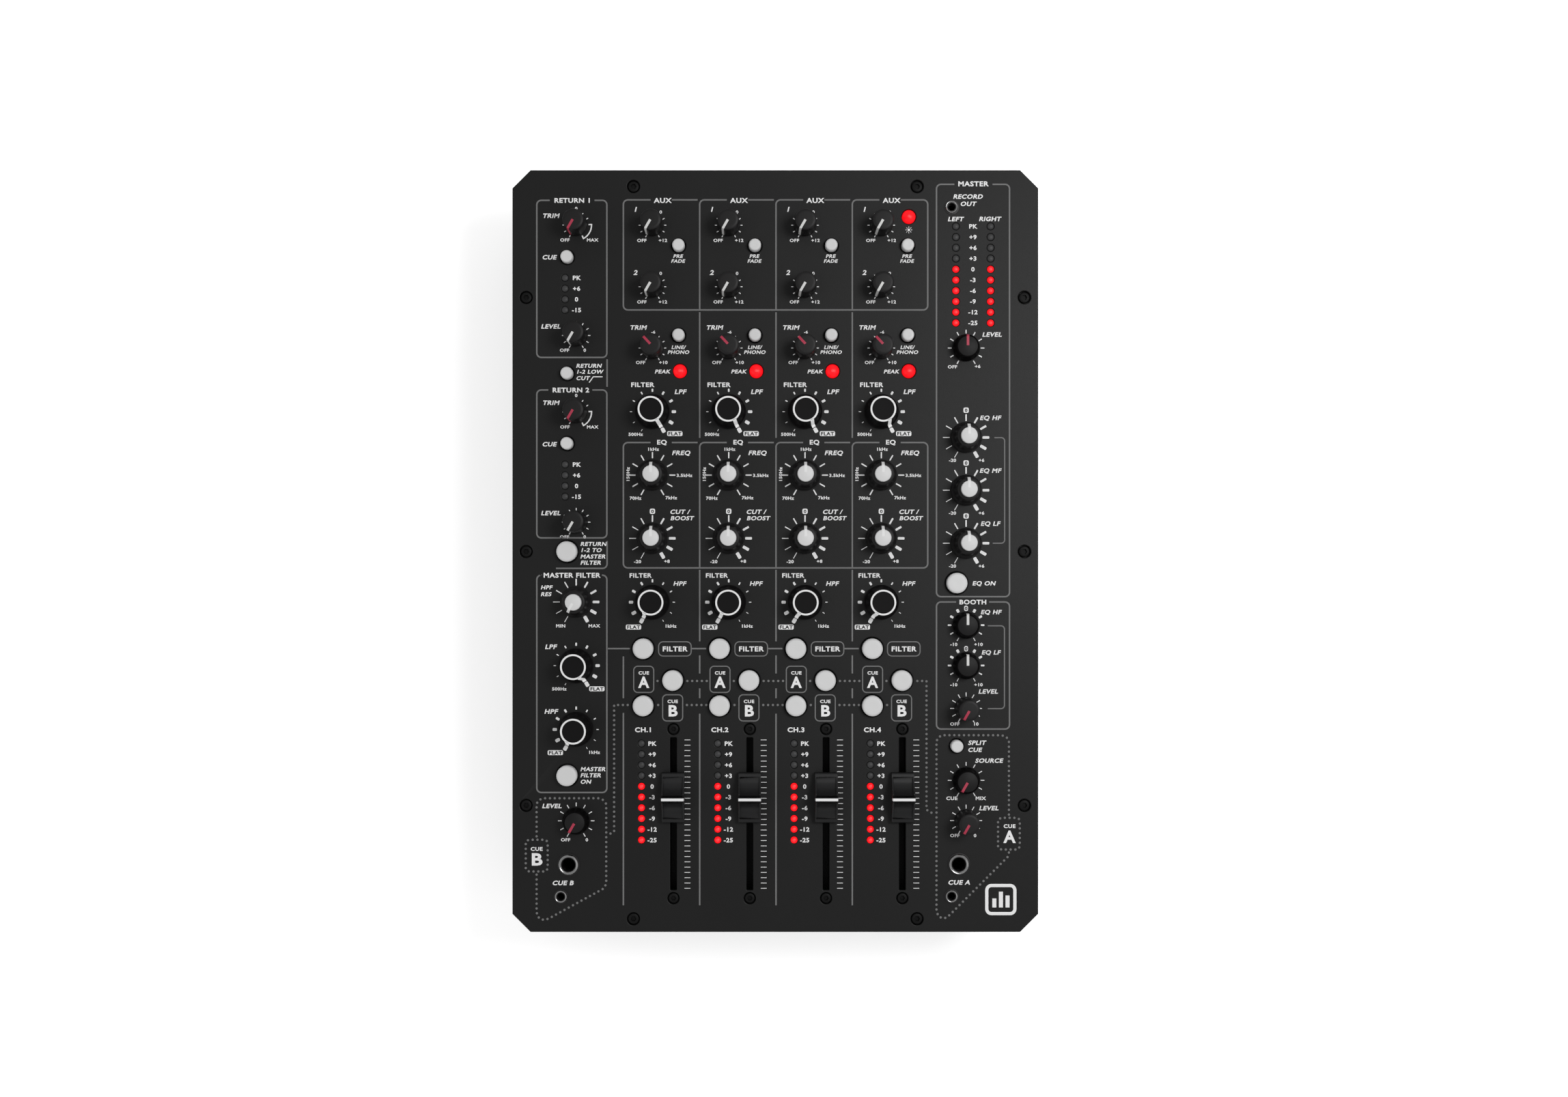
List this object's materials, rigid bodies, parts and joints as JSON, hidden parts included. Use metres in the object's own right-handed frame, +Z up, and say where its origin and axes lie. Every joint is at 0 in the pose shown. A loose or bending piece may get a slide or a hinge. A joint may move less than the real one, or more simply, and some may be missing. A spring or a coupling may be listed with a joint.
{
  "type": "dj mixer",
  "caption": "Four-channel DJ mixer with turning knobs, sliding faders, push keys, level meters and headphone sockets on a flat top plate.",
  "frame": {"origin": "under the middle of the top plate, on the surface that the feet stand on", "axes": "+Z up, +Y from the headphone sockets towards the rear panel, +X to the right of someone using it"},
  "size_m": [0.247, 0.358, 0.0901],
  "materials": {
    "plate_paint": "fine matt powder coat",
    "tray_paint": "fine matt powder coat",
    "panel_paint": "satin powder coat",
    "circuit_board": "satin solder resist",
    "soft_black": "soft matt",
    "satin_black": "satin",
    "grey_cap": "matt black with a light grey cap",
    "ringed_black": "matt black with a white ring",
    "fader_black": "satin",
    "key_grey": "satin",
    "print_grey": "matt ink",
    "print_white": "matt ink",
    "pointer_red": "matt ink",
    "lamp_red": "glowing lens",
    "lamp_dark": "unlit lens",
    "bright_metal": "bright plated",
    "black_screw": "black oxide",
    "foot_rubber": "matt rubber"
  },
  "bodies": {
    "mixer_body": {"faceplate": "plate_paint", "chassis_tray": "tray_paint", "control_board": "circuit_board", "rear_panel": "panel_paint"},
    "ch1_aux1_knob": {"ch1_aux1_knob": "soft_black"},
    "ch1_aux2_knob": {"ch1_aux2_knob": "soft_black"},
    "ch1_trim_knob": {"ch1_trim_knob": "soft_black"},
    "ch1_lpf_knob": {"ch1_lpf_knob": "ringed_black"},
    "ch1_eq_freq_knob": {"ch1_eq_freq_knob": "grey_cap"},
    "ch1_eq_boost_knob": {"ch1_eq_boost_knob": "grey_cap"},
    "ch1_hpf_knob": {"ch1_hpf_knob": "ringed_black"},
    "ch2_aux1_knob": {"ch2_aux1_knob": "soft_black"},
    "ch2_aux2_knob": {"ch2_aux2_knob": "soft_black"},
    "ch2_trim_knob": {"ch2_trim_knob": "soft_black"},
    "ch2_lpf_knob": {"ch2_lpf_knob": "ringed_black"},
    "ch2_eq_freq_knob": {"ch2_eq_freq_knob": "grey_cap"},
    "ch2_eq_boost_knob": {"ch2_eq_boost_knob": "grey_cap"},
    "ch2_hpf_knob": {"ch2_hpf_knob": "ringed_black"},
    "ch3_aux1_knob": {"ch3_aux1_knob": "soft_black"},
    "ch3_aux2_knob": {"ch3_aux2_knob": "soft_black"},
    "ch3_trim_knob": {"ch3_trim_knob": "soft_black"},
    "ch3_lpf_knob": {"ch3_lpf_knob": "ringed_black"},
    "ch3_eq_freq_knob": {"ch3_eq_freq_knob": "grey_cap"},
    "ch3_eq_boost_knob": {"ch3_eq_boost_knob": "grey_cap"},
    "ch3_hpf_knob": {"ch3_hpf_knob": "ringed_black"},
    "ch4_aux1_knob": {"ch4_aux1_knob": "soft_black"},
    "ch4_aux2_knob": {"ch4_aux2_knob": "soft_black"},
    "ch4_trim_knob": {"ch4_trim_knob": "soft_black"},
    "ch4_lpf_knob": {"ch4_lpf_knob": "ringed_black"},
    "ch4_eq_freq_knob": {"ch4_eq_freq_knob": "grey_cap"},
    "ch4_eq_boost_knob": {"ch4_eq_boost_knob": "grey_cap"},
    "ch4_hpf_knob": {"ch4_hpf_knob": "ringed_black"},
    "return1_trim_knob": {"return1_trim_knob": "soft_black"},
    "return1_level_knob": {"return1_level_knob": "soft_black"},
    "return2_trim_knob": {"return2_trim_knob": "soft_black"},
    "return2_level_knob": {"return2_level_knob": "soft_black"},
    "filter_resonance_knob": {"filter_resonance_knob": "grey_cap"},
    "master_lpf_knob": {"master_lpf_knob": "ringed_black"},
    "master_hpf_knob": {"master_hpf_knob": "ringed_black"},
    "cue_b_level_knob": {"cue_b_level_knob": "satin_black"},
    "master_level_knob": {"master_level_knob": "satin_black"},
    "master_eq_hf_knob": {"master_eq_hf_knob": "grey_cap"},
    "master_eq_mf_knob": {"master_eq_mf_knob": "grey_cap"},
    "master_eq_lf_knob": {"master_eq_lf_knob": "grey_cap"},
    "booth_eq_hf_knob": {"booth_eq_hf_knob": "satin_black"},
    "booth_eq_lf_knob": {"booth_eq_lf_knob": "satin_black"},
    "booth_level_knob": {"booth_level_knob": "soft_black"},
    "cue_source_knob": {"cue_source_knob": "satin_black"},
    "cue_a_level_knob": {"cue_a_level_knob": "soft_black"},
    "ch1_fader": {"ch1_fader": "fader_black"},
    "ch2_fader": {"ch2_fader": "fader_black"},
    "ch3_fader": {"ch3_fader": "fader_black"},
    "ch4_fader": {"ch4_fader": "fader_black"},
    "pre_fade_keys": {"pre_fade_keys": "key_grey"},
    "line_keys": {"line_keys": "key_grey"},
    "filter_keys": {"filter_keys": "key_grey"},
    "cue_a_keys": {"cue_a_keys": "key_grey"},
    "cue_b_keys": {"cue_b_keys": "key_grey"},
    "left_column_keys": {"left_column_keys": "key_grey"},
    "right_column_keys": {"right_column_keys": "key_grey"}
  },
  "joints": [
    {"name": "ch1_aux1_turn", "type": "hinge", "parent": "mixer_body", "child": "ch1_aux1_knob", "pos_m": [-0.0577, 0.1531, 0.074], "axis": [0, 0, -1], "range_deg": [0, 300]},
    {"name": "ch1_aux2_turn", "type": "hinge", "parent": "mixer_body", "child": "ch1_aux2_knob", "pos_m": [-0.0577, 0.1242, 0.074], "axis": [0, 0, -1], "range_deg": [0, 300]},
    {"name": "ch1_trim_turn", "type": "hinge", "parent": "mixer_body", "child": "ch1_trim_knob", "pos_m": [-0.0577, 0.0954, 0.074], "axis": [0, 0, -1], "range_deg": [-107, 193]},
    {"name": "ch1_lpf_turn", "type": "hinge", "parent": "mixer_body", "child": "ch1_lpf_knob", "pos_m": [-0.0577, 0.0655, 0.074], "axis": [0, 0, -1], "range_deg": [-300, 0]},
    {"name": "ch1_eq_freq_turn", "type": "hinge", "parent": "mixer_body", "child": "ch1_eq_freq_knob", "pos_m": [-0.0577, 0.0357, 0.074], "axis": [0, 0, -1], "range_deg": [-150, 150]},
    {"name": "ch1_eq_boost_turn", "type": "hinge", "parent": "mixer_body", "child": "ch1_eq_boost_knob", "pos_m": [-0.0577, 0.006, 0.074], "axis": [0, 0, -1], "range_deg": [-150, 150]},
    {"name": "ch1_hpf_turn", "type": "hinge", "parent": "mixer_body", "child": "ch1_hpf_knob", "pos_m": [-0.0577, -0.024, 0.074], "axis": [0, 0, -1], "range_deg": [0, 300]},
    {"name": "ch2_aux1_turn", "type": "hinge", "parent": "mixer_body", "child": "ch2_aux1_knob", "pos_m": [-0.02187, 0.1531, 0.074], "axis": [0, 0, -1], "range_deg": [0, 300]},
    {"name": "ch2_aux2_turn", "type": "hinge", "parent": "mixer_body", "child": "ch2_aux2_knob", "pos_m": [-0.02187, 0.1242, 0.074], "axis": [0, 0, -1], "range_deg": [0, 300]},
    {"name": "ch2_trim_turn", "type": "hinge", "parent": "mixer_body", "child": "ch2_trim_knob", "pos_m": [-0.02187, 0.0954, 0.074], "axis": [0, 0, -1], "range_deg": [-107, 193]},
    {"name": "ch2_lpf_turn", "type": "hinge", "parent": "mixer_body", "child": "ch2_lpf_knob", "pos_m": [-0.02187, 0.0655, 0.074], "axis": [0, 0, -1], "range_deg": [-300, 0]},
    {"name": "ch2_eq_freq_turn", "type": "hinge", "parent": "mixer_body", "child": "ch2_eq_freq_knob", "pos_m": [-0.02187, 0.0357, 0.074], "axis": [0, 0, -1], "range_deg": [-150, 150]},
    {"name": "ch2_eq_boost_turn", "type": "hinge", "parent": "mixer_body", "child": "ch2_eq_boost_knob", "pos_m": [-0.02187, 0.006, 0.074], "axis": [0, 0, -1], "range_deg": [-150, 150]},
    {"name": "ch2_hpf_turn", "type": "hinge", "parent": "mixer_body", "child": "ch2_hpf_knob", "pos_m": [-0.02187, -0.024, 0.074], "axis": [0, 0, -1], "range_deg": [0, 300]},
    {"name": "ch3_aux1_turn", "type": "hinge", "parent": "mixer_body", "child": "ch3_aux1_knob", "pos_m": [0.01396, 0.1531, 0.074], "axis": [0, 0, -1], "range_deg": [0, 300]},
    {"name": "ch3_aux2_turn", "type": "hinge", "parent": "mixer_body", "child": "ch3_aux2_knob", "pos_m": [0.01396, 0.1242, 0.074], "axis": [0, 0, -1], "range_deg": [0, 300]},
    {"name": "ch3_trim_turn", "type": "hinge", "parent": "mixer_body", "child": "ch3_trim_knob", "pos_m": [0.01396, 0.0954, 0.074], "axis": [0, 0, -1], "range_deg": [-107, 193]},
    {"name": "ch3_lpf_turn", "type": "hinge", "parent": "mixer_body", "child": "ch3_lpf_knob", "pos_m": [0.01396, 0.0655, 0.074], "axis": [0, 0, -1], "range_deg": [-300, 0]},
    {"name": "ch3_eq_freq_turn", "type": "hinge", "parent": "mixer_body", "child": "ch3_eq_freq_knob", "pos_m": [0.01396, 0.0357, 0.074], "axis": [0, 0, -1], "range_deg": [-150, 150]},
    {"name": "ch3_eq_boost_turn", "type": "hinge", "parent": "mixer_body", "child": "ch3_eq_boost_knob", "pos_m": [0.01396, 0.006, 0.074], "axis": [0, 0, -1], "range_deg": [-150, 150]},
    {"name": "ch3_hpf_turn", "type": "hinge", "parent": "mixer_body", "child": "ch3_hpf_knob", "pos_m": [0.01396, -0.024, 0.074], "axis": [0, 0, -1], "range_deg": [0, 300]},
    {"name": "ch4_aux1_turn", "type": "hinge", "parent": "mixer_body", "child": "ch4_aux1_knob", "pos_m": [0.04979, 0.1531, 0.074], "axis": [0, 0, -1], "range_deg": [0, 300]},
    {"name": "ch4_aux2_turn", "type": "hinge", "parent": "mixer_body", "child": "ch4_aux2_knob", "pos_m": [0.04979, 0.1242, 0.074], "axis": [0, 0, -1], "range_deg": [0, 300]},
    {"name": "ch4_trim_turn", "type": "hinge", "parent": "mixer_body", "child": "ch4_trim_knob", "pos_m": [0.04979, 0.0954, 0.074], "axis": [0, 0, -1], "range_deg": [-107, 193]},
    {"name": "ch4_lpf_turn", "type": "hinge", "parent": "mixer_body", "child": "ch4_lpf_knob", "pos_m": [0.04979, 0.0655, 0.074], "axis": [0, 0, -1], "range_deg": [-300, 0]},
    {"name": "ch4_eq_freq_turn", "type": "hinge", "parent": "mixer_body", "child": "ch4_eq_freq_knob", "pos_m": [0.04979, 0.0357, 0.074], "axis": [0, 0, -1], "range_deg": [-150, 150]},
    {"name": "ch4_eq_boost_turn", "type": "hinge", "parent": "mixer_body", "child": "ch4_eq_boost_knob", "pos_m": [0.04979, 0.006, 0.074], "axis": [0, 0, -1], "range_deg": [-150, 150]},
    {"name": "ch4_hpf_turn", "type": "hinge", "parent": "mixer_body", "child": "ch4_hpf_knob", "pos_m": [0.04979, -0.024, 0.074], "axis": [0, 0, -1], "range_deg": [0, 300]},
    {"name": "return1_trim_turn", "type": "hinge", "parent": "mixer_body", "child": "return1_trim_knob", "pos_m": [-0.0935, 0.1532, 0.074], "axis": [0, 0, -1], "range_deg": [0, 300]},
    {"name": "return1_level_turn", "type": "hinge", "parent": "mixer_body", "child": "return1_level_knob", "pos_m": [-0.0935, 0.1013, 0.074], "axis": [0, 0, -1], "range_deg": [0, 300]},
    {"name": "return2_trim_turn", "type": "hinge", "parent": "mixer_body", "child": "return2_trim_knob", "pos_m": [-0.0935, 0.06535, 0.074], "axis": [0, 0, -1], "range_deg": [0, 300]},
    {"name": "return2_level_turn", "type": "hinge", "parent": "mixer_body", "child": "return2_level_knob", "pos_m": [-0.0935, 0.0136, 0.074], "axis": [0, 0, -1], "range_deg": [0, 300]},
    {"name": "filter_resonance_turn", "type": "hinge", "parent": "mixer_body", "child": "filter_resonance_knob", "pos_m": [-0.0935, -0.0239, 0.074], "axis": [0, 0, -1], "range_deg": [0, 300]},
    {"name": "master_lpf_turn", "type": "hinge", "parent": "mixer_body", "child": "master_lpf_knob", "pos_m": [-0.0935, -0.0538, 0.074], "axis": [0, 0, -1], "range_deg": [-300, 0]},
    {"name": "master_hpf_turn", "type": "hinge", "parent": "mixer_body", "child": "master_hpf_knob", "pos_m": [-0.0935, -0.0836, 0.074], "axis": [0, 0, -1], "range_deg": [0, 300]},
    {"name": "cue_b_level_turn", "type": "hinge", "parent": "mixer_body", "child": "cue_b_level_knob", "pos_m": [-0.0935, -0.1267, 0.074], "axis": [0, 0, -1], "range_deg": [0, 300]},
    {"name": "master_level_turn", "type": "hinge", "parent": "mixer_body", "child": "master_level_knob", "pos_m": [0.0896, 0.0954, 0.074], "axis": [0, 0, -1], "range_deg": [-150, 150]},
    {"name": "master_eq_hf_turn", "type": "hinge", "parent": "mixer_body", "child": "master_eq_hf_knob", "pos_m": [0.0896, 0.0534, 0.074], "axis": [0, 0, -1], "range_deg": [-150, 150]},
    {"name": "master_eq_mf_turn", "type": "hinge", "parent": "mixer_body", "child": "master_eq_mf_knob", "pos_m": [0.0896, 0.0286, 0.074], "axis": [0, 0, -1], "range_deg": [-150, 150]},
    {"name": "master_eq_lf_turn", "type": "hinge", "parent": "mixer_body", "child": "master_eq_lf_knob", "pos_m": [0.0896, 0.0037, 0.074], "axis": [0, 0, -1], "range_deg": [-150, 150]},
    {"name": "booth_eq_hf_turn", "type": "hinge", "parent": "mixer_body", "child": "booth_eq_hf_knob", "pos_m": [0.0896, -0.0348, 0.074], "axis": [0, 0, -1], "range_deg": [-150, 150]},
    {"name": "booth_eq_lf_turn", "type": "hinge", "parent": "mixer_body", "child": "booth_eq_lf_knob", "pos_m": [0.0896, -0.05375, 0.074], "axis": [0, 0, -1], "range_deg": [-150, 150]},
    {"name": "booth_level_turn", "type": "hinge", "parent": "mixer_body", "child": "booth_level_knob", "pos_m": [0.0896, -0.0739, 0.074], "axis": [0, 0, -1], "range_deg": [0, 300]},
    {"name": "cue_source_turn", "type": "hinge", "parent": "mixer_body", "child": "cue_source_knob", "pos_m": [0.0896, -0.1077, 0.074], "axis": [0, 0, -1], "range_deg": [0, 300]},
    {"name": "cue_a_level_turn", "type": "hinge", "parent": "mixer_body", "child": "cue_a_level_knob", "pos_m": [0.0896, -0.1266, 0.074], "axis": [0, 0, -1], "range_deg": [0, 300]},
    {"name": "ch1_fader_slide", "type": "slide", "parent": "mixer_body", "child": "ch1_fader", "axis": [0, 1, 0], "range_m": [-0.03795, 0.02205]},
    {"name": "ch2_fader_slide", "type": "slide", "parent": "mixer_body", "child": "ch2_fader", "axis": [0, 1, 0], "range_m": [-0.03795, 0.02205]},
    {"name": "ch3_fader_slide", "type": "slide", "parent": "mixer_body", "child": "ch3_fader", "axis": [0, 1, 0], "range_m": [-0.03795, 0.02205]},
    {"name": "ch4_fader_slide", "type": "slide", "parent": "mixer_body", "child": "ch4_fader", "axis": [0, 1, 0], "range_m": [-0.03795, 0.02205]},
    {"name": "pre_fade_press", "type": "slide", "parent": "mixer_body", "child": "pre_fade_keys", "axis": [0, 0, -1], "range_m": [0, 0.0012], "stiffness_N_per_m": 400, "springref_m": -0.0005},
    {"name": "line_press", "type": "slide", "parent": "mixer_body", "child": "line_keys", "axis": [0, 0, -1], "range_m": [0, 0.0012], "stiffness_N_per_m": 400, "springref_m": -0.0005},
    {"name": "filter_press", "type": "slide", "parent": "mixer_body", "child": "filter_keys", "axis": [0, 0, -1], "range_m": [0, 0.0012], "stiffness_N_per_m": 400, "springref_m": -0.0005},
    {"name": "cue_a_press", "type": "slide", "parent": "mixer_body", "child": "cue_a_keys", "axis": [0, 0, -1], "range_m": [0, 0.0012], "stiffness_N_per_m": 400, "springref_m": -0.0005},
    {"name": "cue_b_press", "type": "slide", "parent": "mixer_body", "child": "cue_b_keys", "axis": [0, 0, -1], "range_m": [0, 0.0012], "stiffness_N_per_m": 400, "springref_m": -0.0005},
    {"name": "left_column_press", "type": "slide", "parent": "mixer_body", "child": "left_column_keys", "axis": [0, 0, -1], "range_m": [0, 0.0012], "stiffness_N_per_m": 400, "springref_m": -0.0005},
    {"name": "right_column_press", "type": "slide", "parent": "mixer_body", "child": "right_column_keys", "axis": [0, 0, -1], "range_m": [0, 0.0012], "stiffness_N_per_m": 400, "springref_m": -0.0005}
  ]
}
